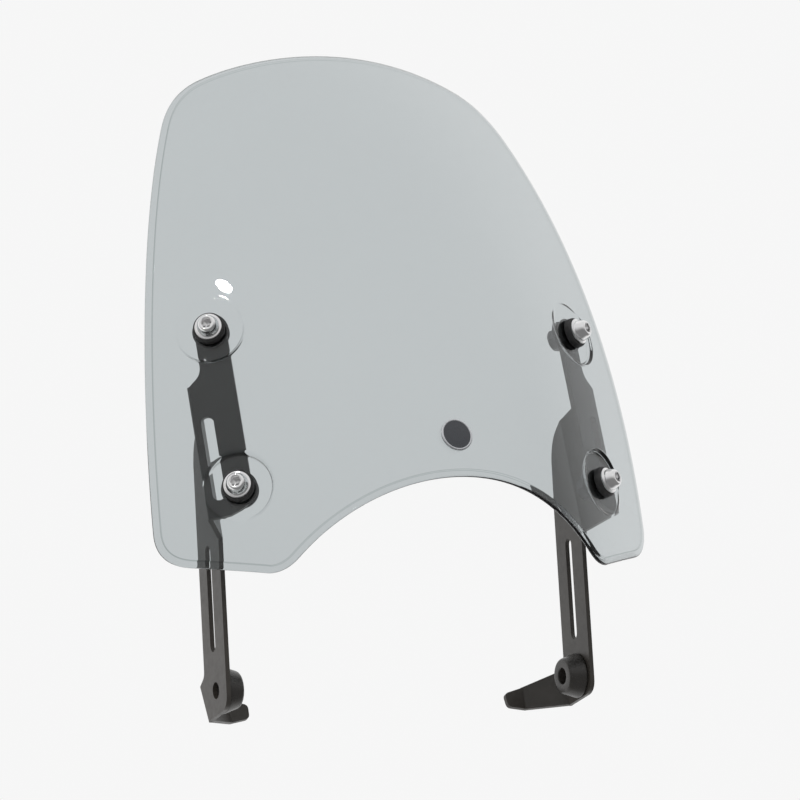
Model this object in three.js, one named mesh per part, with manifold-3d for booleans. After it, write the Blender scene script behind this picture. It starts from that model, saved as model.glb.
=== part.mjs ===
// Motorcycle windshield screen: a clear formed screen on two folded plate brackets.
// Millimetres, +Z up, the rider's side is +Y and the front is -Y.
// The origin lies midway between the two headlamp-bolt holes, on their common axis (X).

import * as THREE from 'three';
import { mergeVertices } from 'three/addons/utils/BufferGeometryUtils.js';
import Module from 'manifold-3d';

const wasm = await Module();
wasm.setup();

// ---------- driving dimensions ----------
const PLATE = 3;                 // bracket plate thickness
const BAR_X = 131.5;             // middle plane of each bracket's bar
const BAR_REAR = 18.3;           // bar edges either side of the bolt hole
const BAR_FRONT = -17.5;
const BAR_SLOT = { y: 1.4, width: 8.2, low: 24.7, high: 92.6 };
const BOLT_HOLE = 5.4;           // radius of the headlamp-bolt hole
const SPACER = { base: 15, tip: 11.5, length: 11.7, gap: 0.3 };

const FOLD_LEAN = THREE.MathUtils.degToRad(15.5);   // the upper folds lean back by this much
const WING_TURN = THREE.MathUtils.degToRad(31);     // the wing faces this far outboard
const FOLD_2 = { x: BAR_X, q: 42.25 };              // bar to gusset, in the section across the folds
const FOLD_1 = { x: 145.5, q: 63 };                 // gusset to wing
const FIXINGS = { upper: { r: 19.5, s: 216.4 }, lower: { r: 21.5, s: 107.4 } };
const WING_WIDTH = 29.5;
const WING_SLOT = { r: 8.05, width: 8.1, low: 103, high: 160 };

const SCREEN = 3.2;              // screen thickness
const RAKE = THREE.MathUtils.degToRad(21.1);
const SCREEN_FOOT = -158.71;     // where the raked screen axis crosses the bolt plane
const BEND = { radius: 164.3, taper: -0.00113, quartic: -0.0811, upright: 0.000715, level: 234 };

// Stack along each fixing, measured forward from the screw head's seat
const WING_MIDDLE = -12.2;
const FRONT_RUBBER = { top: -0.3, low: -4.9, radius: 10.4 };
const PAD_FRONT = -5.2;
const REAR_RUBBER = { top: -8.7, low: -10.4, radius: 11.8 };
const REAR_WASHER = { top: -14, low: -15.8, radius: 11.6 };
const NUT = { top: -16.1, low: -22.6, radius: 7.6 };
const HEAD = { flange: 8.8, base: 7.2, top: 4.85, height: 7.6, socket: 3.1, depth: 4.2 };
const SHANK = 3;
const SHANK_HOLE = 3.4;
const POCKET = { floor: 21.5, mouth: 22.3 };

const BADGE = { x: 0, z: 163.5, radius: 10.8, rise: 1.6, gap: 0.35 };

// Facets: the screen's grid, and the sides of round pieces
const COLUMNS = 22;
const ROWS = 20;
const SIDES = 24;
const POCKET_SIDES = 32;

// ---------- solids ----------
function solid(geometry) {
  const bare = geometry.clone();
  bare.deleteAttribute('normal');
  bare.deleteAttribute('uv');
  const merged = mergeVertices(bare, 1e-4);
  return new wasm.Manifold(new wasm.Mesh({
    numProp: 3,
    vertProperties: Float32Array.from(merged.attributes.position.array),
    triVerts: Uint32Array.from(merged.index.array),
  }));
}

function geometryOf(body) {
  const mesh = body.getMesh();
  const geometry = new THREE.BufferGeometry();
  geometry.setAttribute('position', new THREE.BufferAttribute(new Float32Array(mesh.vertProperties), 3));
  geometry.setIndex(new THREE.BufferAttribute(new Uint32Array(mesh.triVerts), 1));
  return geometry;
}

function mirrored(geometry) {
  const copy = geometry.clone();
  copy.scale(-1, 1, 1);
  const index = copy.index.array;
  for (let i = 0; i < index.length; i += 3) {
    const keep = index[i];
    index[i] = index[i + 1];
    index[i + 1] = keep;
  }
  return copy;
}

// A frame with its X and Y along u and v, for shapes drawn flat and then placed
function placement(origin, u, v) {
  const along = u.clone().normalize();
  const normal = u.clone().cross(v).normalize();
  const across = normal.clone().cross(along);
  return new THREE.Matrix4().makeBasis(along, across, normal).setPosition(origin);
}

function plate(shape, frame) {
  const geometry = new THREE.ExtrudeGeometry(shape, { depth: PLATE, bevelEnabled: false, curveSegments: 8 });
  geometry.translate(0, 0, -PLATE / 2);
  geometry.applyMatrix4(frame);
  return solid(geometry);
}

function cylinder(from, to, radiusFrom, radiusTo = radiusFrom, sides = SIDES) {
  const length = from.distanceTo(to);
  const geometry = new THREE.CylinderGeometry(radiusTo, radiusFrom, length, sides);
  const turn = new THREE.Quaternion().setFromUnitVectors(
    new THREE.Vector3(0, 1, 0), to.clone().sub(from).normalize());
  geometry.applyQuaternion(turn);
  const middle = from.clone().add(to).multiplyScalar(0.5);
  geometry.translate(middle.x, middle.y, middle.z);
  return solid(geometry);
}

function slotShape(x, low, high, width) {
  const shape = new THREE.Shape();
  const radius = width / 2;
  shape.absarc(x, high - radius, radius, 0, Math.PI, false);
  shape.absarc(x, low + radius, radius, Math.PI, 2 * Math.PI, false);
  shape.closePath();
  return shape;
}

// ---------- the section across the bracket's upper folds ----------
const foldDirection = new THREE.Vector3(0, Math.sin(FOLD_LEAN), Math.cos(FOLD_LEAN));
const forward = new THREE.Vector3(0, -Math.cos(FOLD_LEAN), Math.sin(FOLD_LEAN));
const wingAcross = new THREE.Vector3(-Math.cos(WING_TURN), 0, 0)
  .addScaledVector(forward, Math.sin(WING_TURN));
const fixingAxis = new THREE.Vector3(Math.sin(WING_TURN), 0, 0)
  .addScaledVector(forward, Math.cos(WING_TURN));

function sectionPoint(x, q, s) {
  return new THREE.Vector3(x, 0, 0).addScaledVector(forward, q).addScaledVector(foldDirection, s);
}

// The point on a fixing's axis that lies `ahead` of the screw head's seat
function onFixing(fixing, ahead) {
  return sectionPoint(FOLD_1.x, FOLD_1.q, fixing.s)
    .addScaledVector(wingAcross, fixing.r)
    .addScaledVector(fixingAxis, ahead - WING_MIDDLE);
}

function alongFixing(fixing, low, high, radiusLow, radiusHigh = radiusLow, sides = SIDES) {
  return cylinder(onFixing(fixing, low), onFixing(fixing, high), radiusLow, radiusHigh, sides);
}

// ---------- bracket ----------
const gussetTop = 168;
const gussetFoot = 87;
const foldTop = 182.1;
const foldFoot = 91.7;

function barPlate() {
  const shape = new THREE.Shape();
  const top = sectionPoint(0, FOLD_2.q, gussetTop);
  shape.moveTo(14, -19);
  shape.lineTo(26, 4);
  shape.lineTo(20.2, 8.5);
  shape.quadraticCurveTo(BAR_REAR, 10.5, BAR_REAR, 14);
  shape.lineTo(BAR_REAR, 146);
  shape.quadraticCurveTo(BAR_REAR - 1, 160, 11, 166.5);
  shape.lineTo(top.y, top.z);
  shape.lineTo(BAR_FRONT, sectionPoint(0, FOLD_2.q, gussetFoot).z);
  shape.lineTo(BAR_FRONT, -3);
  shape.quadraticCurveTo(BAR_FRONT, -10.5, -10.2, -13.2);
  shape.lineTo(14, -19);
  const frame = placement(new THREE.Vector3(BAR_X, 0, 0), new THREE.Vector3(0, 1, 0), new THREE.Vector3(0, 0, 1));
  const slot = slotShape(BAR_SLOT.y, BAR_SLOT.low, BAR_SLOT.high, BAR_SLOT.width);
  shape.holes.push(slot);
  return plate(shape, frame);
}

function gussetPlate() {
  const width = Math.hypot(FOLD_1.x - FOLD_2.x, FOLD_1.q - FOLD_2.q);
  const across = sectionPoint(FOLD_1.x, FOLD_1.q, 0).sub(sectionPoint(FOLD_2.x, FOLD_2.q, 0));
  const shape = new THREE.Shape();
  shape.moveTo(0, gussetFoot);
  shape.lineTo(0, gussetTop);
  shape.lineTo(width, foldTop);
  shape.lineTo(width, foldFoot);
  shape.closePath();
  return plate(shape, placement(sectionPoint(FOLD_2.x, FOLD_2.q, 0), across, foldDirection));
}

function wingPlate() {
  const neck = 8.8;
  const upper = FIXINGS.upper;
  const shape = new THREE.Shape();
  shape.moveTo(0, foldFoot);
  shape.lineTo(0, foldTop);
  shape.lineTo(5.2, 186.4);
  shape.quadraticCurveTo(neck, 189.6, neck, 195);
  shape.lineTo(neck, upper.s);
  shape.absarc((neck + WING_WIDTH) / 2, upper.s, (WING_WIDTH - neck) / 2, Math.PI, 0, true);
  shape.lineTo(WING_WIDTH, 108);
  shape.quadraticCurveTo(WING_WIDTH, 97.5, 20, 94);
  shape.lineTo(13, 91.7);
  shape.closePath();
  shape.holes.push(slotShape(WING_SLOT.r, WING_SLOT.low, WING_SLOT.high, WING_SLOT.width));
  return plate(shape, placement(sectionPoint(FOLD_1.x, FOLD_1.q, 0), wingAcross, foldDirection));
}

// The foot tab folds rearward and inboard from the bar's lower rear edge, and ends in a short lip
const footLow = new THREE.Vector3(BAR_X, 14, -19);
const footHigh = new THREE.Vector3(BAR_X, 26, 4);
const lipLow = new THREE.Vector3(108.5, 37.4, -20.2);
const lipHigh = new THREE.Vector3(110.2, 43.1, -5.4);
const tipLow = new THREE.Vector3(95.2, 37.7, -18);
const tipHigh = new THREE.Vector3(94.6, 41.4, -9.2);

function fourSided(points, rounding) {
  const [a, b, c, d] = points;
  const frame = placement(a, b.clone().sub(a), d.clone().sub(a));
  const inverse = frame.clone().invert();
  const flat = points.map((p) => p.clone().applyMatrix4(inverse));
  const shape = new THREE.Shape();
  const toward = (from, to) => flat[from].clone().lerp(flat[to], rounding / flat[from].distanceTo(flat[to]));
  const rounded = (corner, before, after) => {
    const start = toward(corner, before);
    const end = toward(corner, after);
    shape.lineTo(start.x, start.y);
    shape.quadraticCurveTo(flat[corner].x, flat[corner].y, end.x, end.y);
  };
  shape.moveTo(flat[0].x, flat[0].y);
  shape.lineTo(flat[1].x, flat[1].y);
  if (rounding > 0) {
    rounded(2, 1, 3);
    rounded(3, 2, 0);
  } else {
    shape.lineTo(flat[2].x, flat[2].y);
    shape.lineTo(flat[3].x, flat[3].y);
  }
  shape.closePath();
  return plate(shape, frame);
}

function bracket() {
  const folds = [
    [sectionPoint(FOLD_2.x, FOLD_2.q, gussetFoot), sectionPoint(FOLD_2.x, FOLD_2.q, gussetTop)],
    [sectionPoint(FOLD_1.x, FOLD_1.q, foldFoot), sectionPoint(FOLD_1.x, FOLD_1.q, foldTop)],
    [footLow, footHigh],
    [lipLow, lipHigh],
  ];
  let body = barPlate().add(gussetPlate()).add(wingPlate());
  body = body.add(fourSided([footLow, footHigh, lipHigh, lipLow], 0));
  body = body.add(fourSided([lipLow, lipHigh, tipHigh, tipLow], 3));
  for (const [low, high] of folds) {
    body = body.add(cylinder(low, high, PLATE / 2, PLATE / 2, 16));
  }
  const boltLine = (x) => new THREE.Vector3(x, 0, 0);
  body = body.subtract(cylinder(boltLine(BAR_X - PLATE), boltLine(BAR_X + PLATE), BOLT_HOLE));
  for (const fixing of Object.values(FIXINGS)) {
    body = body.subtract(alongFixing(fixing, WING_MIDDLE - PLATE, WING_MIDDLE + PLATE, SHANK_HOLE, SHANK_HOLE));
  }
  return body;
}

// A ring or a stepped body of revolution, drawn as [radius, height] and closed on itself
function turned(profile, sides) {
  const points = profile.map(([radius, height]) => new THREE.Vector2(radius, height));
  return new THREE.LatheGeometry([...points, points[0]], sides);
}

function spacer() {
  const end = SPACER.length;
  const geometry = turned([
    [BOLT_HOLE, 0], [SPACER.base, 0], [SPACER.base, 1.5], [SPACER.tip + 0.6, end - 1],
    [SPACER.tip - 0.4, end], [BOLT_HOLE, end],
  ], POCKET_SIDES);
  geometry.rotateZ(Math.PI / 2);
  geometry.translate(BAR_X - PLATE / 2 - SPACER.gap, 0, 0);
  return solid(geometry);
}

// ---------- screen ----------
const screenUp = new THREE.Vector3(0, Math.sin(RAKE), Math.cos(RAKE));
const screenBack = new THREE.Vector3(0, Math.cos(RAKE), -Math.sin(RAKE));

function screenPoint(x, z) {
  const lift = z - BEND.level;
  const depth = (x * x) / (2 * BEND.radius) * (1 + BEND.taper * lift)
    + BEND.quartic * x ** 4 / BEND.radius ** 3
    + BEND.upright * lift * lift;
  return new THREE.Vector3(x, SCREEN_FOOT, 0).addScaledVector(screenUp, z).addScaledVector(screenBack, depth);
}

function screenNormal(x, z) {
  const across = screenPoint(x + 0.1, z).sub(screenPoint(x - 0.1, z));
  const upward = screenPoint(x, z + 0.1).sub(screenPoint(x, z - 0.1));
  return across.cross(upward).normalize();
}

// A slab whose front is the screen's outer surface
function curvedSlab(thickness, columns, rows) {
  const low = 88;
  const high = 490;
  const half = 184;
  const geometry = new THREE.BoxGeometry(2 * half, 1, high - low, columns, 1, rows);
  const position = geometry.attributes.position;
  for (let i = 0; i < position.count; i += 1) {
    const x = position.getX(i);
    const z = position.getZ(i) + (low + high) / 2;
    const point = screenPoint(x, z);
    if (position.getY(i) > 0) point.addScaledVector(screenNormal(x, z), -thickness);
    position.setXYZ(i, point.x, point.y, point.z);
  }
  return solid(geometry);
}

function screenOutline() {
  const shape = new THREE.Shape();
  const half = [
    ['moveTo', 0, 136.2],
    ['bezierCurveTo', 40, 136.2, 78, 125.5, 104, 102.5],
    ['quadraticCurveTo', 112, 95.2, 121, 97.4],
    ['lineTo', 160, 114.4],
    ['quadraticCurveTo', 179, 122, 179, 142],
    ['bezierCurveTo', 178, 240, 162, 345, 131, 427],
    ['bezierCurveTo', 126, 440.5, 117, 459.5, 96, 467.4],
    ['bezierCurveTo', 70, 477.5, 35, 482.3, 0, 482.3],
  ];
  for (const [command, ...values] of half) shape[command](...values);
  const right = shape.getPoints(9);
  const left = right.slice(1, -1).reverse().map((p) => new THREE.Vector2(-p.x, p.y));
  return new THREE.Shape([...right, ...left]);
}

function screen() {
  const outline = new THREE.ExtrudeGeometry(screenOutline(), { depth: 260, bevelEnabled: false });
  const frame = new THREE.Matrix4().makeBasis(
    new THREE.Vector3(1, 0, 0), screenUp, screenBack.clone().negate());
  frame.setPosition(new THREE.Vector3(0, SCREEN_FOOT, 0).addScaledVector(screenBack, 240));
  outline.applyMatrix4(frame);
  let body = curvedSlab(SCREEN, COLUMNS, ROWS);
  const behindFront = curvedSlab(18, COLUMNS, ROWS);
  const padBack = PAD_FRONT - SCREEN;
  for (const side of [1, -1]) {
    for (const fixing of Object.values(FIXINGS)) {
      const place = (piece) => (side > 0 ? piece : solid(mirrored(geometryOf(piece))));
      const cup = place(alongFixing(fixing, padBack, 8, POCKET.floor + 2.6, POCKET.mouth + 2.6, POCKET_SIDES));
      body = body.add(cup.intersect(behindFront));
    }
    for (const fixing of Object.values(FIXINGS)) {
      const place = (piece) => (side > 0 ? piece : solid(mirrored(geometryOf(piece))));
      body = body.subtract(place(alongFixing(fixing, PAD_FRONT, 8, POCKET.floor, POCKET.mouth, POCKET_SIDES)));
      body = body.subtract(place(alongFixing(fixing, padBack - 2, PAD_FRONT + 2, SHANK_HOLE + 0.6)));
    }
  }
  return body.intersect(solid(outline));
}

// ---------- fixings ----------
function facingFixing(geometry, fixing, ahead) {
  geometry.applyQuaternion(new THREE.Quaternion().setFromUnitVectors(new THREE.Vector3(0, 1, 0), fixingAxis));
  const seat = onFixing(fixing, ahead);
  geometry.translate(seat.x, seat.y, seat.z);
  return geometry;
}

function screw(fixing) {
  const shankEnd = NUT.low - 1.4;
  const profile = [
    [0, shankEnd], [SHANK - 0.5, shankEnd], [SHANK, shankEnd + 0.6], [SHANK, 0],
    [HEAD.flange - 0.2, 0], [HEAD.flange, 0.3], [HEAD.flange, 0.9], [HEAD.base + 0.2, 1.2],
    [HEAD.base, 2.4], [HEAD.top + 0.9, HEAD.height - 1.1], [HEAD.top, HEAD.height], [0, HEAD.height],
  ];
  const points = profile.map(([radius, height]) => new THREE.Vector2(radius, height));
  const body = solid(facingFixing(new THREE.LatheGeometry(points, SIDES), fixing, 0));
  const socketRadius = HEAD.socket / Math.cos(Math.PI / 6);
  const socket = alongFixing(fixing, HEAD.height - HEAD.depth, HEAD.height + 1, socketRadius, socketRadius, 6);
  return body.subtract(socket);
}

function ring(fixing, { top, low, radius }, hole, edge) {
  const geometry = turned([
    [hole, 0], [radius - edge, 0], [radius, edge], [radius, top - low - edge],
    [radius - edge, top - low], [hole, top - low],
  ], SIDES);
  return solid(facingFixing(geometry, fixing, low));
}

function nut(fixing) {
  const body = alongFixing(fixing, NUT.low, NUT.top, NUT.radius, NUT.radius, 6);
  const cone = alongFixing(fixing, NUT.low, NUT.top, NUT.radius - 1.1, NUT.radius + 2.9);
  return body.intersect(cone)
    .subtract(alongFixing(fixing, NUT.low - 1, NUT.top + 1, SHANK + 0.3));
}

function badge() {
  const { radius, rise, gap } = BADGE;
  const profile = [
    [0, gap], [radius, gap], [radius, gap + 0.5], [radius - 0.5, gap + 1], [radius / 2, rise + 0.15], [0, rise + 0.25],
  ];
  const points = profile.map(([r, height]) => new THREE.Vector2(r, height));
  const geometry = new THREE.LatheGeometry(points, SIDES);
  const normal = screenNormal(BADGE.x, BADGE.z);
  geometry.applyQuaternion(new THREE.Quaternion().setFromUnitVectors(new THREE.Vector3(0, 1, 0), normal));
  const centre = screenPoint(BADGE.x, BADGE.z);
  geometry.translate(centre.x, centre.y, centre.z);
  return solid(geometry);
}

// ---------- assembly ----------
const finish = (color, roughness, metalness, extra = {}) => () => (
  new THREE.MeshStandardMaterial({ color, roughness, metalness, ...extra }));
const clear = finish(0xb9c4c6, 0.08, 0, { transparent: true, opacity: 0.4 });
const powderCoat = finish(0x2a2724, 0.55, 0.1);
const polished = finish(0xd8d8dc, 0.12, 1);
const zinc = finish(0x2c2d30, 0.4, 0.9);
const rubber = finish(0x141414, 0.85, 0);
const enamel = finish(0x1c2026, 0.2, 0);

const group = new THREE.Group();

function place(name, geometry, material) {
  const mesh = new THREE.Mesh(geometry, material());
  mesh.name = name;
  group.add(mesh);
}

function placePair(name, body, material) {
  const right = geometryOf(body);
  place(`${name}_right`, right, material);
  place(`${name}_left`, mirrored(right), material);
}

place('screen', geometryOf(screen()), clear);
place('badge', geometryOf(badge()), enamel);
placePair('bracket', bracket(), powderCoat);
placePair('spacer', spacer(), powderCoat);
for (const [level, fixing] of Object.entries(FIXINGS)) {
  placePair(`screw_${level}`, screw(fixing), polished);
  placePair(`front_rubber_${level}`, ring(fixing, FRONT_RUBBER, SHANK_HOLE, 0.8), rubber);
  placePair(`rear_rubber_${level}`, ring(fixing, REAR_RUBBER, SHANK_HOLE, 0.4), rubber);
  placePair(`washer_${level}`, ring(fixing, REAR_WASHER, SHANK_HOLE, 0.3), zinc);
  placePair(`nut_${level}`, nut(fixing), zinc);
}

export default group;
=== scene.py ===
import math

import bmesh
import bpy
from mathutils import Matrix, Vector
from mathutils.geometry import delaunay_2d_cdt


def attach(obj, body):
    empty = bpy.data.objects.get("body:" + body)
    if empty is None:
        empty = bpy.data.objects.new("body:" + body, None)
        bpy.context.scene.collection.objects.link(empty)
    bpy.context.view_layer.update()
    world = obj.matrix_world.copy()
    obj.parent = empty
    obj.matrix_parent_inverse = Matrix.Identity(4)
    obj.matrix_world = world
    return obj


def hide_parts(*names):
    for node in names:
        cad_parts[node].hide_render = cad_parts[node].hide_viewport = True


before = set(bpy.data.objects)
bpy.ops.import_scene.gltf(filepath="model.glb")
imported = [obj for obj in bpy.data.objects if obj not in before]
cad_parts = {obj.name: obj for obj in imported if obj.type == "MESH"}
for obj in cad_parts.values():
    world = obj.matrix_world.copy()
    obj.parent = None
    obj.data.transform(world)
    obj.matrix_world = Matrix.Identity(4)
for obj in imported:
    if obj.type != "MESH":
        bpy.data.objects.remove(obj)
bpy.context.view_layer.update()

MM = 0.001
SIDES = {"right": 1, "left": -1}
MOVING = "screen_assembly"
LAMP = "lamp_mount"

# ---------- the design's sizes, in millimetres, as the frame has them ----------
SCREEN = 3.2
RAKE = math.radians(21.1)
SCREEN_FOOT = -158.71
BEND_RADIUS = 164.3
BEND_TAPER = -0.00113
BEND_QUARTIC = -0.0811
BEND_UPRIGHT = 0.000715
BEND_LEVEL = 234
SCREEN_UP = Vector((0, math.sin(RAKE), math.cos(RAKE)))
SCREEN_BACK = Vector((0, math.cos(RAKE), -math.sin(RAKE)))

FOLD_LEAN = math.radians(15.5)
WING_TURN = math.radians(31)
FOLD_LINE = Vector((0, math.sin(FOLD_LEAN), math.cos(FOLD_LEAN)))
FORWARD = Vector((0, -math.cos(FOLD_LEAN), math.sin(FOLD_LEAN)))
WING_ACROSS = Vector((-math.cos(WING_TURN), 0, 0)) + FORWARD * math.sin(WING_TURN)
FIXING_AXIS = Vector((math.sin(WING_TURN), 0, 0)) + FORWARD * math.cos(WING_TURN)
WING_CORNER = Vector((145.5, 0, 0)) + FORWARD * 63
WING_MIDDLE = -12.2
FIXINGS = {"upper": (19.5, 216.4), "lower": (21.5, 107.4)}
PAD_FRONT = -5.2
PAD_HOLE = 4
POCKET_FLOOR = 21.0
POCKET_MOUTH = 23.6

# The screen's rim: a margin that slopes down to a half-round edge, and a darker band of painted shade along
# the crease on its inner side
MARGIN = 4.6
MARGIN_DROP = 0.8
EDGE_REACH = 1.2
EDGE_STEPS = 8
# How far each side of the margin crease the darker band of painted shade reaches
CREASE_SHADE_WIDTH = 0.35
MARGIN_RINGS = ((2.6, 2), (MARGIN - 0.3, 1), (MARGIN, 1), (MARGIN + 0.3, 1), (8, 2), (12, 2))
INNER = SCREEN * 9

# The screen's mesh: rings round each fixing and an even grid between them
PAD_RADII = [PAD_HOLE, 6.5, 10, 14, 18, 20.2, 21, 21.5, 22, 22.4, 22.8, 23.2, 23.6, 24.4, 26]
PAD_SPOKES = 72
PAD_CLEAR = 28
PAD_REACH = 32
GRID = 5.0
GRID_FOOT = 90
GRID_HEIGHT = 400
GRID_COLUMNS = 38
GRID_CLEAR = 14

# The fixings' stacks, forward from the seat of the screw's head
FIXING_BORE = 3.4
FRONT_RUBBER = [(10.4, -4.9), (10.2, -1.2), (9.6, -0.3)]
REAR_RUBBER = [(11.8, -10.4), (11.8, -8.7)]
WASHER = [(11.6, -15.8), (11.6, -14)]
NUT = {"low": -22.6, "high": -16.1, "flats": 6.58, "bore": 3.3}
SHANK = [(0.01, -24), (2.5, -24), (3, -23.4), (3, 0)]
HEAD = [(8.8, 0), (8.8, 1.0), (7.35, 1.15), (7.2, 2.4), (5.75, 6.5), (4.85, 7.6), (3.75, 7.6)]
HEAD_ROUND = 0.45
SOCKET = 3.1
SOCKET_ROWS = ((7.35, 1.0), (3.6, 1.0), (3.4, 0.93), (2.6, 0.02))
ROUND_SIDES = 72

SPACER = [(5.4, 0), (15, 0), (15, 1.5), (12.1, 10.4), (11.1, 11.7), (5.4, 11.7)]
SPACER_SEAT = 129.7
FINE_SIDES = 96

BADGE_HEIGHT = 163.5
BADGE = [(0.01, 0.35), (10.8, 0.35), (10.8, 1.35), (9.9, 1.75), (9.3, 1.45), (5, 1.75), (0.01, 1.85)]
BADGE_RIM = 9.45

# The brackets' eased edges, and how far their shading may turn across a fold or an edge
EASE = 0.45
EASE_FROM = math.radians(28)
FOLD_SMOOTH = math.radians(30)
EDGE_SMOOTH = math.radians(50)

BACKDROP = (0.925, 0.925, 0.925)


def seat(level):
    """Where a screw's head sits on the right-hand side."""
    across, along = FIXINGS[level]
    return WING_CORNER + WING_ACROSS * across + FOLD_LINE * along - FIXING_AXIS * WING_MIDDLE


def smooth(t):
    t = min(max(t, 0), 1)
    return t * t * (3 - 2 * t)


def mirror(points):
    return [Vector((-p.x, p.y, p.z)) for p in points]


# ---------- pieces ----------
def piece(name, points, faces, body, replaced, material, flat_angle):
    """One visible piece from points in millimetres, sharp where faces turn more than flat_angle degrees."""
    mesh = bpy.data.meshes.new(name)
    mesh.from_pydata([p * MM for p in points], [], faces)
    mesh.validate()
    bm = bmesh.new()
    bm.from_mesh(mesh)
    bmesh.ops.recalc_face_normals(bm, faces=bm.faces)
    bm.to_mesh(mesh)
    bm.free()
    obj = bpy.data.objects.new(name, mesh)
    bpy.context.scene.collection.objects.link(obj)
    for polygon in mesh.polygons:
        polygon.use_smooth = True
    mesh.set_sharp_from_angle(angle=math.radians(flat_angle))
    mesh.materials.append(material)
    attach(obj, body)
    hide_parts(replaced)
    return obj


# ---------- node helpers ----------
class Tree:
    """A node tree, with short calls for what the materials and the studio need."""

    def __init__(self, tree, place):
        self.tree = tree
        self.place = place

    def feed(self, value, socket):
        if isinstance(value, tuple):
            socket.default_value = (*value, 1)
        elif isinstance(value, (int, float)):
            socket.default_value = value
        else:
            self.tree.links.new(value, socket)

    def noise(self, scale, detail=4, roughness=0.55):
        node = self.tree.nodes.new("ShaderNodeTexNoise")
        node.inputs["Scale"].default_value = scale
        node.inputs["Detail"].default_value = detail
        node.inputs["Roughness"].default_value = roughness
        self.tree.links.new(self.place, node.inputs["Vector"])
        return node.outputs["Fac"]

    def remap(self, value, low, high, start=0.3, end=0.7, soft=False):
        """Carries start..end over to low..high."""
        node = self.tree.nodes.new("ShaderNodeMapRange")
        if soft:
            node.interpolation_type = "SMOOTHSTEP"
        node.inputs["From Min"].default_value = start
        node.inputs["From Max"].default_value = end
        node.inputs["To Min"].default_value = low
        node.inputs["To Max"].default_value = high
        self.tree.links.new(value, node.inputs["Value"])
        return node.outputs["Result"]

    def mix(self, factor, first, second):
        node = self.tree.nodes.new("ShaderNodeMix")
        node.data_type = "RGBA"
        node.clamp_factor = False
        self.feed(factor, node.inputs["Factor"])
        self.feed(first, node.inputs[6])
        self.feed(second, node.inputs[7])
        return node.outputs[2]

    def maths(self, operation, *values):
        node = self.tree.nodes.new("ShaderNodeMath")
        node.operation = operation
        for value, socket in zip(values, node.inputs):
            self.feed(value, socket)
        return node.outputs[0]


class Material(Tree):
    """A procedural material round one Principled shader."""

    def __init__(self, name):
        self.material = bpy.data.materials.new(name)
        self.material.use_nodes = True
        tree = self.material.node_tree
        super().__init__(tree, tree.nodes.new("ShaderNodeTexCoord").outputs["Object"])
        self.shader = tree.nodes["Principled BSDF"]

    def set(self, **values):
        for key, value in values.items():
            self.shader.inputs[key.replace("_", " ")].default_value = value

    def link(self, value, socket):
        self.tree.links.new(value, self.shader.inputs[socket])

    def grain(self, scale, first, second):
        """A base colour that wanders between two tones."""
        self.link(self.mix(self.remap(self.noise(scale), 0, 1), first, second), "Base Color")

    def bump(self, height, strength, distance):
        node = self.tree.nodes.new("ShaderNodeBump")
        node.inputs["Strength"].default_value = strength
        node.inputs["Distance"].default_value = distance
        self.tree.links.new(height, node.inputs["Height"])
        self.tree.links.new(node.outputs["Normal"], self.shader.inputs["Normal"])


def acrylic(name, tone):
    made = Material(name)
    made.set(Transmission_Weight=1, IOR=1.49)
    tint = made.remap(made.noise(9, 3), 0, 1)
    made.link(made.mix(tint, tone, tuple(c * 1.015 for c in tone)), "Base Color")
    made.link(made.remap(made.noise(26, 4, 0.6), 0.0, 0.02), "Roughness")
    made.bump(made.noise(14, 2), 0.03, 0.0004)
    return made.material


def powder_coat(name, tone, rough):
    made = Material(name)
    colour = made.mix(made.remap(made.noise(40, 5), 0, 1), tone, tuple(c * 1.35 for c in tone))
    rubbed = made.remap(made.noise(14, 8, 0.75), 0, 1, 0.64, 0.76)
    worn = made.mix(rubbed, colour, tuple(c * 1.6 + 0.012 for c in tone))
    made.link(worn, "Base Color")
    made.link(made.remap(made.noise(260, 5, 0.6), rough, rough + 0.12), "Roughness")
    made.bump(made.noise(2600, 3, 0.6), 0.22, 0.00012)
    return made.material


def polished_steel():
    made = Material("polished_stainless")
    made.set(Metallic=1)
    made.grain(180, (0.78, 0.78, 0.79), (0.86, 0.855, 0.85))
    made.link(made.remap(made.noise(700, 5, 0.7), 0.07, 0.17), "Roughness")
    made.bump(made.noise(1500, 3), 0.05, 0.00005)
    return made.material


def black_zinc():
    made = Material("black_zinc_plate")
    made.set(Metallic=1)
    made.grain(300, (0.035, 0.037, 0.041), (0.075, 0.076, 0.08))
    made.link(made.remap(made.noise(900, 5, 0.7), 0.3, 0.48), "Roughness")
    made.bump(made.noise(2200, 3), 0.12, 0.00008)
    return made.material


def moulded_rubber():
    made = Material("moulded_rubber")
    made.grain(240, (0.012, 0.012, 0.013), (0.028, 0.027, 0.027))
    made.link(made.remap(made.noise(900, 5), 0.5, 0.75), "Roughness")
    made.bump(made.noise(1900, 4, 0.65), 0.3, 0.00015)
    return made.material


def badge_enamel(name, tone, metallic, rough):
    made = Material(name)
    made.set(Metallic=metallic, Coat_Weight=0.7, Coat_Roughness=0.05)
    made.grain(500, tone, tuple(c * 1.2 for c in tone))
    made.link(made.remap(made.noise(800, 4), rough, rough + 0.12), "Roughness")
    made.bump(made.noise(1500, 3), 0.05, 0.00004)
    return made.material


# ---------- screen ----------
def screen_point(x, z):
    lift = z - BEND_LEVEL
    depth = (x * x / (2 * BEND_RADIUS) * (1 + BEND_TAPER * lift)
             + BEND_QUARTIC * x ** 4 / BEND_RADIUS ** 3
             + BEND_UPRIGHT * lift * lift)
    return Vector((x, SCREEN_FOOT, 0)) + SCREEN_UP * z + SCREEN_BACK * depth


def screen_normal(x, z):
    across = screen_point(x + 0.1, z) - screen_point(x - 0.1, z)
    upward = screen_point(x, z + 0.1) - screen_point(x, z - 0.1)
    return across.cross(upward).normalized()


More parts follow.
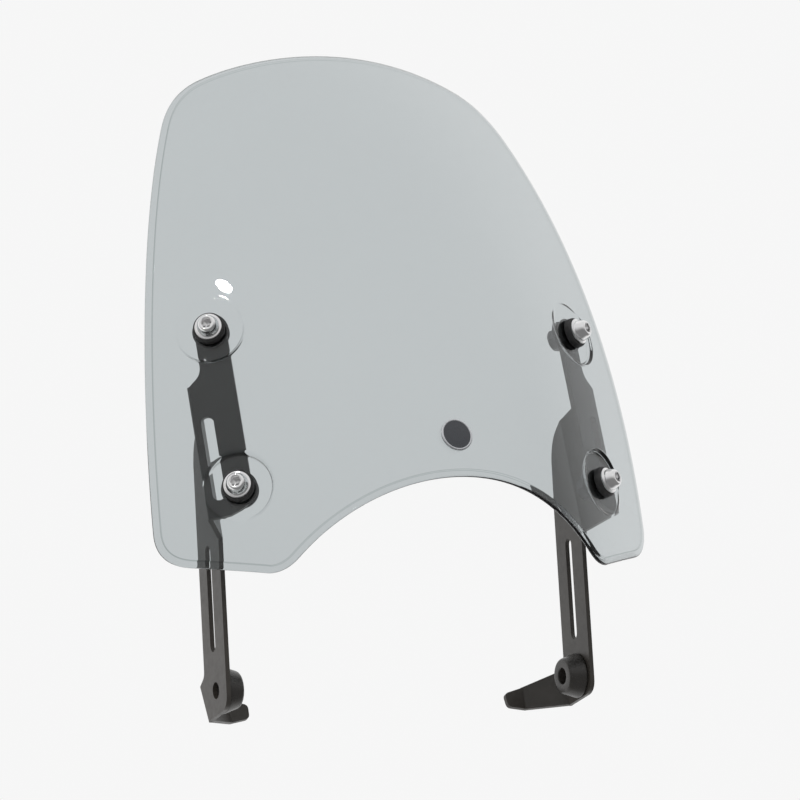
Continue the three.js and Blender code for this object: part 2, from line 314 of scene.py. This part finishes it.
def bezier(points, count):
    """Points along a quadratic or cubic curve, without its first."""
    order = len(points) - 1
    made = []
    for i in range(1, count + 1):
        t = i / count
        made.append(sum((math.comb(order, k) * (1 - t) ** (order - k) * t ** k * p
                         for k, p in enumerate(points)), Vector((0, 0))))
    return made


def screen_outline():
    """The outline drawn flat, anticlockwise seen from the front: x right, z up."""
    corners = [
        [(0, 136.2), (40, 136.2), (78, 125.5), (104, 102.5)],
        [(104, 102.5), (112, 95.2), (121, 97.4)],
        [(121, 97.4), (160, 114.4)],
        [(160, 114.4), (179, 122), (179, 142)],
        [(179, 142), (178, 240), (162, 345), (131, 427)],
        [(131, 427), (126, 440.5), (117, 459.5), (96, 467.4)],
        [(96, 467.4), (70, 477.5), (35, 482.3), (0, 482.3)],
    ]
    steps = [36, 10, 12, 14, 80, 22, 30]
    right = [Vector((0, 136.2))]
    for run, count in zip(corners, steps):
        right += bezier([Vector(p) for p in run], count)
    left = [Vector((-p.x, p.y)) for p in reversed(right[1:-1])]
    return right + left


def outward(outline, i):
    before = outline[i - 1]
    after = outline[(i + 1) % len(outline)]
    along = (after - before).normalized()
    return Vector((along.y, -along.x))


class Pocket:
    """One formed flat pad, in polar coordinates round its fixing's axis."""

    def __init__(self, level, side):
        self.seat = seat(level)
        self.axis = FIXING_AXIS.copy()
        self.first = WING_ACROSS.copy()
        if side < 0:
            self.seat.x = -self.seat.x
            self.axis.x = -self.axis.x
            self.first.x = -self.first.x
        self.second = self.axis.cross(self.first)

    def flat(self, radius, angle):
        """Where a circle round the axis meets the curved sheet, in the sheet's flat coordinates."""
        spoke = self.seat + (self.first * math.cos(angle) + self.second * math.sin(angle)) * radius
        ahead = -3.0
        for _ in range(6):
            point = spoke + self.axis * ahead
            x = point.x
            z = (point - Vector((0, SCREEN_FOOT, 0))).dot(SCREEN_UP)
            gap = (point - screen_point(x, z)).dot(screen_normal(x, z))
            ahead -= gap / self.axis.dot(screen_normal(x, z))
        return Vector((x, z))

    def radius(self, point):
        offset = point - self.seat
        return (offset - self.axis * offset.dot(self.axis)).length

    def form(self, point, normal):
        """Moves a point of the curved sheet into the pad, and turns its normal with it."""
        radius = self.radius(point)
        held = 1 - smooth((radius - POCKET_FLOOR) / (POCKET_MOUTH - POCKET_FLOOR))
        if held <= 0:
            return point, normal
        ahead = (point - self.seat).dot(self.axis)
        formed = point + self.axis * (PAD_FRONT - ahead) * held
        return formed, normal.lerp(self.axis, held).normalized()


def inset(outline, distance, every=1):
    return [p - outward(outline, i) * distance for i, p in enumerate(outline)][::every]


def loop_edges(start, count):
    return [(start + k, start + (k + 1) % count) for k in range(count)]


def screen_layout(outline, rims, pockets):
    """The flat points to mesh, the edges to keep, and each margin point's distance from the outline."""
    coords = list(rims)
    edges = []
    margins = {i: EDGE_REACH for i in range(len(rims))}
    for distance, every in MARGIN_RINGS:
        ring = inset(outline, distance, every)
        start = len(coords)
        coords += ring
        margins.update({start + k: distance for k in range(len(ring))})
        edges += loop_edges(start, len(ring))

    for pocket in pockets:
        for radius in PAD_RADII:
            edges += loop_edges(len(coords), PAD_SPOKES)
            coords += [pocket.flat(radius, math.tau * k / PAD_SPOKES) for k in range(PAD_SPOKES)]

    centres = [pocket.flat(0.01, 0) for pocket in pockets]
    for row in range(int(GRID_HEIGHT / GRID)):
        z = GRID_FOOT + row * GRID
        for column in range(-GRID_COLUMNS, GRID_COLUMNS + 1):
            spot = Vector(((column + (row % 2) / 2) * GRID, z))
            if min((spot - c).length for c in centres) < PAD_CLEAR:
                continue
            if inside(spot, outline) and min((spot - p).length for p in outline) > GRID_CLEAR:
                coords.append(spot)
    return coords, edges, margins


def formed_pair(spot, distance, pockets):
    """The front and back points of the sheet at a flat spot, with its margin and its pads formed."""
    point = screen_point(spot.x, spot.y)
    normal = screen_normal(spot.x, spot.y)
    back = point - normal * SCREEN
    if distance < MARGIN:
        point = point - normal * MARGIN_DROP * (MARGIN - distance) / (MARGIN - EDGE_REACH)
    for pocket in pockets:
        if (point - pocket.seat).length < PAD_REACH:
            point, normal = pocket.form(point, normal)
            back = point - normal * SCREEN
    return point, back


def sheet_faces(triangles, total, rim):
    """The two faces of the sheet and the walls of its holes; the outer edge is left open."""
    faces = []
    for triangle in triangles:
        faces += [triangle, tuple(total + k for k in reversed(triangle))]
    borders = {}
    for face in triangles:
        for a, b in zip(face, face[1:] + face[:1]):
            borders[(a, b)] = True
    on_rim = set(rim)
    for (a, b) in borders:
        if (b, a) in borders or (a in on_rim and b in on_rim):
            continue
        faces.append((b, a, total + a, total + b))
    return faces


def round_edge(outline, rims, rim, total, points):
    """The half-round edge from the front face to the back, added to the points; returns its faces."""
    count = len(outline)
    half = (SCREEN - MARGIN_DROP) / 2
    strips = [rim]
    for step in range(1, EDGE_STEPS):
        turn = math.pi * step / EDGE_STEPS
        ring = []
        for i, spot in enumerate(rims):
            ahead = spot + outward(outline, i) * 0.1
            normal = screen_normal(spot.x, spot.y)
            base = screen_point(spot.x, spot.y)
            sideways = (screen_point(ahead.x, ahead.y) - base).normalized()
            ring.append(len(points))
            points.append(base + sideways * EDGE_REACH * math.sin(turn)
                          - normal * (MARGIN_DROP + half * (1 - math.cos(turn))))
        strips.append(ring)
    strips.append([total + k for k in rim])
    faces = []
    for first, second in zip(strips, strips[1:]):
        for i in range(count):
            j = (i + 1) % count
            faces.append((first[i], first[j], second[j], second[i]))
    return faces


def screen_piece():
    """The clear sheet, with a darker band of painted shade along its margin crease as a second material."""
    outline = screen_outline()
    rims = inset(outline, EDGE_REACH)
    pockets = [Pocket(level, side) for level in FIXINGS for side in SIDES.values()]
    coords, edges, margins = screen_layout(outline, rims, pockets)
    made = delaunay_2d_cdt(coords, edges, [list(range(len(outline)))], 1, 1e-5, True)
    flats, sources = made[0], made[3]
    distances = [min((margins.get(k, INNER) for k in old), default=INNER) for old in sources]
    pairs = [formed_pair(spot, distance, pockets) for spot, distance in zip(flats, distances)]

    def kept(triangle):
        """True if a triangle lies on the sheet and not in a fixing's hole."""
        if not inside(sum((flats[k] for k in triangle), Vector((0, 0))) / 3, rims):
            return False
        middle = sum((pairs[k][0] for k in triangle), Vector()) / 3
        return not any((middle - pocket.seat).length < 30 and pocket.radius(middle) < PAD_HOLE * 0.99
                       for pocket in pockets)

    triangles = [t for t in made[2] if kept(t)]
    used = sorted({k for t in triangles for k in t})
    new_place = {k: place for place, k in enumerate(used)}
    total = len(used)
    points = [pairs[k][0] for k in used] + [pairs[k][1] for k in used]
    triangles = [tuple(new_place[k] for k in t) for t in triangles]
    where = {source: new_place[k] for k in used for source in sources[k]}
    rim = [where[i] for i in range(len(outline))]
    faces = sheet_faces(triangles, total, rim)
    faces += round_edge(outline, rims, rim, total, points)

    obj = piece("screen_sheet", points, faces, MOVING, "screen",
                acrylic("clear_acrylic", (0.54, 0.575, 0.585)), 50)
    # The second material is the same acrylic tinted darker: painted shade along the margin crease
    obj.data.materials.append(acrylic("margin_crease_painted_shade", (0.36, 0.40, 0.40)))
    # Faces whose corners all lie in the band round the crease get the painted shade
    crease_shade = {new_place[k] for k in used if abs(distances[k] - MARGIN) < CREASE_SHADE_WIDTH}
    crease_shade |= {total + k for k in crease_shade}
    for polygon in obj.data.polygons:
        if crease_shade.issuperset(polygon.vertices):
            polygon.material_index = 1


def inside(spot, outline):
    """True if a flat spot is within an outline, by counting the sides that a line from it crosses."""
    hit = False
    for i, a in enumerate(outline):
        b = outline[i - 1]
        if (a.y > spot.y) != (b.y > spot.y):
            if spot.x < (b.x - a.x) * (spot.y - a.y) / (b.y - a.y) + a.x:
                hit = not hit
    return hit


# ---------- turned pieces ----------
def rounded(profile, radius, steps=4):
    """Rounds the inner corners of an open profile of (radius, height) points."""
    made = [Vector(profile[0])]
    for before, corner, after in zip(profile, profile[1:], profile[2:]):
        before, corner, after = Vector(before), Vector(corner), Vector(after)
        reach = min(radius, (before - corner).length * 0.45, (after - corner).length * 0.45)
        start = corner + (before - corner).normalized() * reach
        end = corner + (after - corner).normalized() * reach
        made.append(start)
        made += bezier([start, corner, end], steps)
    made.append(Vector(profile[-1]))
    return made


def turned(profile, origin, axis, sides=ROUND_SIDES, closed=False):
    """A body of revolution round an axis, and its faces."""
    turn = Vector((0, 0, 1)).rotation_difference(axis)
    points, faces = [], []
    for p in profile:
        for k in range(sides):
            angle = math.tau * k / sides
            spoke = Vector((p.x * math.cos(angle), p.x * math.sin(angle), p.y))
            points.append(origin + turn @ spoke)
    rings = len(profile)
    pairs = list(zip(range(rings), range(1, rings)))
    if closed:
        pairs.append((rings - 1, 0))
    for a, b in pairs:
        faces += band(a * sides, b * sides, sides)
    if not closed:
        faces.append(tuple(range(sides))[::-1])
        faces.append(tuple((rings - 1) * sides + k for k in range(sides)))
    return points, faces


def sided(points, side):
    return mirror(points) if side < 0 else points


def ring_of(profile, corner):
    """A closed loop from an open profile, with its corners rounded."""
    return rounded([profile[-1], *profile, profile[0]], corner)[1:-1]


def ring_piece(name, node, level, side, outer, material, corner):
    """A washer or a grommet: an outer profile, low to high, round the fixing's bore."""
    profile = [(FIXING_BORE, outer[0][1]), *outer, (FIXING_BORE, outer[-1][1])]
    points, faces = turned(ring_of(profile, corner), seat(level), FIXING_AXIS, closed=True)
    piece(name, sided(points, side), faces, MOVING, node, material, 40)


def hexagon_reach(angle, flats):
    """How far a hexagon reaches at an angle, from half its width across flats."""
    around = (angle + math.pi / 6) % (math.pi / 3) - math.pi / 6
    return flats / math.cos(around)


def around_fixing(level, radius, angle, height):
    turn = Vector((0, 0, 1)).rotation_difference(FIXING_AXIS)
    return seat(level) + turn @ Vector((radius * math.cos(angle), radius * math.sin(angle), height))


def band(a, b, sides):
    """The faces between two rings that start at points a and b."""
    return [(a + k, a + (k + 1) % sides, b + (k + 1) % sides, b + k) for k in range(sides)]


def screw_piece(name, node, level, side, material):
    """A socket screw's tapered head, its hexagonal socket and its plain shank."""
    profile = [Vector(p) for p in SHANK] + rounded(HEAD, HEAD_ROUND)
    points, faces = turned(profile, seat(level), FIXING_AXIS)
    faces.pop()
    rows = [len(points) - ROUND_SIDES]
    for height, shrink in SOCKET_ROWS:
        rows.append(len(points))
        for k in range(ROUND_SIDES):
            angle = math.tau * k / ROUND_SIDES
            points.append(around_fixing(level, hexagon_reach(angle, SOCKET) * shrink, angle, height))
    for a, b in zip(rows, rows[1:]):
        faces += band(a, b, ROUND_SIDES)
    faces.append(tuple(rows[-1] + k for k in range(ROUND_SIDES)))
    piece(name, sided(points, side), faces, MOVING, node, material, 35)


def nut_piece(name, node, level, side, material):
    """A hexagon nut with chamfered corners and a plain bore."""
    low, high, flats, bore = NUT["low"], NUT["high"], NUT["flats"], NUT["bore"]
    rows = [(bore, low + 0.4), (bore + 0.4, low), (flats - 0.2, low), (None, low + 0.1),
            (None, high - 0.1), (flats - 0.2, high), (bore + 0.4, high), (bore, high - 0.4)]
    points, faces = [], []
    for radius, height in rows:
        for k in range(ROUND_SIDES):
            angle = math.tau * k / ROUND_SIDES
            if radius is not None:
                points.append(around_fixing(level, radius, angle, height))
                continue
            reach = hexagon_reach(angle, flats)
            drop = (reach - flats) * 0.75
            rise = drop if height < (low + high) / 2 else -drop
            points.append(around_fixing(level, reach, angle, height + rise))
    for row in range(len(rows)):
        faces += band(row * ROUND_SIDES, (row + 1) % len(rows) * ROUND_SIDES, ROUND_SIDES)
    piece(name, sided(points, side), faces, MOVING, node, material, 30)


def fixings():
    steel, zinc, rubber = polished_steel(), black_zinc(), moulded_rubber()
    for level in FIXINGS:
        for word, side in SIDES.items():
            ending = f"{level}_{word}"
            screw_piece(f"socket_screw_{ending}", f"screw_{ending}", level, side, steel)
            nut_piece(f"hex_nut_{ending}", f"nut_{ending}", level, side, zinc)
            ring_piece(f"front_grommet_{ending}", f"front_rubber_{ending}", level, side,
                       FRONT_RUBBER, rubber, 0.7)
            ring_piece(f"rear_grommet_{ending}", f"rear_rubber_{ending}", level, side,
                       REAR_RUBBER, rubber, 0.5)
            ring_piece(f"flat_washer_{ending}", f"washer_{ending}", level, side,
                       WASHER, zinc, 0.3)


def spacers(material):
    """The tapered spacers on the headlamp bolts, wide end against the bracket."""
    seat_face, inboard = Vector((SPACER_SEAT, 0, 0)), Vector((-1, 0, 0))
    for word, side in SIDES.items():
        points, faces = turned(ring_of(SPACER, 0.8), seat_face, inboard, FINE_SIDES, closed=True)
        piece(f"lamp_spacer_{word}", sided(points, side), faces, LAMP,
              f"spacer_{word}", material, 40)


def badge():
    """A plain round badge: a dark domed face inside a thin bright rim."""
    centre = screen_point(0, BADGE_HEIGHT)
    normal = screen_normal(0, BADGE_HEIGHT)
    points, faces = turned(rounded(BADGE, 0.25), centre, normal, FINE_SIDES)
    obj = piece("round_badge", points, faces, MOVING, "badge",
                badge_enamel("badge_face", (0.014, 0.017, 0.024), 0, 0.18), 40)
    obj.data.materials.append(badge_enamel("badge_rim", (0.55, 0.56, 0.58), 1, 0.22))
    for polygon in obj.data.polygons:
        middle = polygon.center / MM - centre
        radius = (middle - normal * middle.dot(normal)).length
        if radius > BADGE_RIM:
            polygon.material_index = 1


# ---------- brackets ----------
def near_average(normals, facing, limit):
    """The average, by area, of the (normal, area) pairs that turn less than a limit from a facing."""
    total = Vector()
    for normal, area in normals:
        if normal.angle(facing) < limit:
            total += normal * area
    return total.normalized() if total.length else facing


def even_normals(mesh, eased):
    """Keeps the flat faces flat and lets only the eased edges and the folds turn the shading."""
    plain = {}
    turned_faces = {}
    for polygon in mesh.polygons:
        found = turned_faces if polygon.index in eased else plain
        for vertex in polygon.vertices:
            found.setdefault(vertex, []).append((polygon.normal.copy(), polygon.area))
    normals = []
    for polygon in mesh.polygons:
        for vertex in polygon.vertices:
            if vertex in plain:
                nearest = min((normal for normal, _ in plain[vertex]), key=polygon.normal.angle)
                facing = nearest if polygon.index in eased else polygon.normal
                normals.append(near_average(plain[vertex], facing, FOLD_SMOOTH))
            else:
                normals.append(near_average(turned_faces[vertex], polygon.normal, EDGE_SMOOTH))
    mesh.normals_split_custom_set(normals)


def brackets(material):
    """The frame's folded plates, with their cut edges eased and their folds softened."""
    for word in SIDES:
        node = f"bracket_{word}"
        name = f"folded_plate_{word}"
        rough = bpy.data.meshes.new(name)
        bm = bmesh.new()
        bm.from_mesh(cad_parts[node].data)
        bmesh.ops.remove_doubles(bm, verts=bm.verts, dist=2e-6)
        bmesh.ops.dissolve_limit(bm, angle_limit=math.radians(0.6), verts=bm.verts, edges=bm.edges)
        bm.to_mesh(rough)
        bm.free()
        rough.materials.append(material)
        rough.materials.append(None)
        for polygon in rough.polygons:
            polygon.material_index = 0
            polygon.use_smooth = True
        obj = bpy.data.objects.new(name, rough)
        bpy.context.scene.collection.objects.link(obj)
        bevel = obj.modifiers.new("eased_edges", "BEVEL")
        bevel.width = EASE * MM
        bevel.segments = 3
        bevel.limit_method = "ANGLE"
        bevel.angle_limit = EASE_FROM
        bevel.material = 1
        ready = obj.evaluated_get(bpy.context.evaluated_depsgraph_get())
        mesh = bpy.data.meshes.new_from_object(ready)
        eased = {polygon.index for polygon in mesh.polygons if polygon.material_index == 1}
        for polygon in mesh.polygons:
            polygon.material_index = 0
            polygon.use_smooth = True
        mesh.materials.pop(index=1)
        obj.modifiers.clear()
        obj.data = mesh
        even_normals(mesh, eased)
        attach(obj, MOVING)
        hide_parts(node)


# ---------- studio ----------
def area_light(name, place, target, size, power, colour):
    data = bpy.data.lights.new(name, "AREA")
    data.shape = "RECTANGLE"
    data.size, data.size_y = size
    data.energy = power
    data.color = colour
    lamp = bpy.data.objects.new(name, data)
    bpy.context.scene.collection.objects.link(lamp)
    lamp.location = place
    lamp.rotation_euler = (Vector(target) - Vector(place)).to_track_quat("-Z", "Y").to_euler()
    return lamp


def direction(azimuth, elevation):
    """A unit vector, with the azimuth in degrees from the front towards the right."""
    turn, raise_ = math.radians(azimuth), math.radians(elevation)
    return Vector((math.sin(turn) * math.cos(raise_), -math.cos(turn) * math.cos(raise_), math.sin(raise_)))


GLINT = direction(-45, 49)


def light_dome():
    """Plain neutral light from all round: pale behind the object, dimmer in front of it and below."""
    world = bpy.data.worlds.new("studio")
    bpy.context.scene.world = world
    world.use_nodes = True
    tree = world.node_tree
    dome = Tree(tree, tree.nodes.new("ShaderNodeTexCoord").outputs["Generated"])
    split = tree.nodes.new("ShaderNodeSeparateXYZ")
    tree.links.new(dome.place, split.inputs[0])
    front = dome.mix(dome.remap(split.outputs["Z"], 0, 1, -0.2, 0.7, True), (0.22,) * 3, (0.8,) * 3)
    around = dome.mix(dome.remap(split.outputs["Y"], 0, 1, -0.2, 0.3, True), front, BACKDROP)
    path = tree.nodes.new("ShaderNodeLightPath")
    shown = dome.mix(path.outputs["Is Camera Ray"], around, BACKDROP)
    tree.links.new(shown, tree.nodes["Background"].inputs["Color"])


def floor():
    mesh = bpy.data.meshes.new("floor")
    half = 12
    low = -0.62
    mesh.from_pydata([(-half, -half, low), (half, -half, low), (half, half, low), (-half, half, low)], [],
                     [(0, 1, 2, 3)])
    obj = bpy.data.objects.new("floor", mesh)
    bpy.context.scene.collection.objects.link(obj)
    paint = Material("pale_floor")
    paint.grain(3, (0.74, 0.74, 0.73), (0.77, 0.77, 0.76))
    paint.set(Roughness=0.9, Specular_IOR_Level=0)
    mesh.materials.append(paint.material)
    obj.visible_glossy = False


def lights():
    """A wide soft panel at the front left, kept out of reflections, and a small round lamp above it."""
    middle = Vector((-0.1, -0.08, 0.28))
    soft = area_light("soft_panel", middle + direction(-60, 38) * 3, middle,
                      (1.4, 1.4), 30, (1.0, 0.97, 0.94))
    soft.visible_glossy = False
    soft.visible_transmission = False
    lamp = area_light("round_lamp", middle + GLINT * 3, middle, (0.09, 0.09), 2.0, (1.0, 1.0, 1.0))
    lamp.data.shape = "DISK"


def camera():
    """Front-left of the object and a little below it, looking slightly up."""
    turn, raise_, roll = 0.455, -0.122, -0.058
    look = Vector((math.sin(turn) * math.cos(raise_), math.cos(turn) * math.cos(raise_), -math.sin(raise_)))
    level = Vector((math.cos(turn), -math.sin(turn), 0))
    upright = level.cross(look)
    right = level * math.cos(roll) + upright * math.sin(roll)
    upward = upright * math.cos(roll) - level * math.sin(roll)
    data = bpy.data.cameras.new("camera")
    data.sensor_width = 36
    data.lens = 141.8
    data.shift_x = -0.0005
    data.shift_y = 0.0033
    obj = bpy.data.objects.new("camera", data)
    bpy.context.scene.collection.objects.link(obj)
    frame_axes = Matrix((right, upward, -look)).transposed().to_4x4()
    frame_axes.translation = Vector((-0.90244, -1.86368, -0.06917))
    obj.matrix_world = frame_axes
    bpy.context.scene.camera = obj


bpy.context.scene.view_settings.view_transform = "Standard"
camera()
light_dome()
floor()
lights()
coat = powder_coat("powder_coat_black", (0.034, 0.030, 0.026), 0.32)
spacer_coat = powder_coat("spacer_coat_black", (0.024, 0.022, 0.020), 0.22)
brackets(coat)
spacers(spacer_coat)
fixings()
badge()
screen_piece()
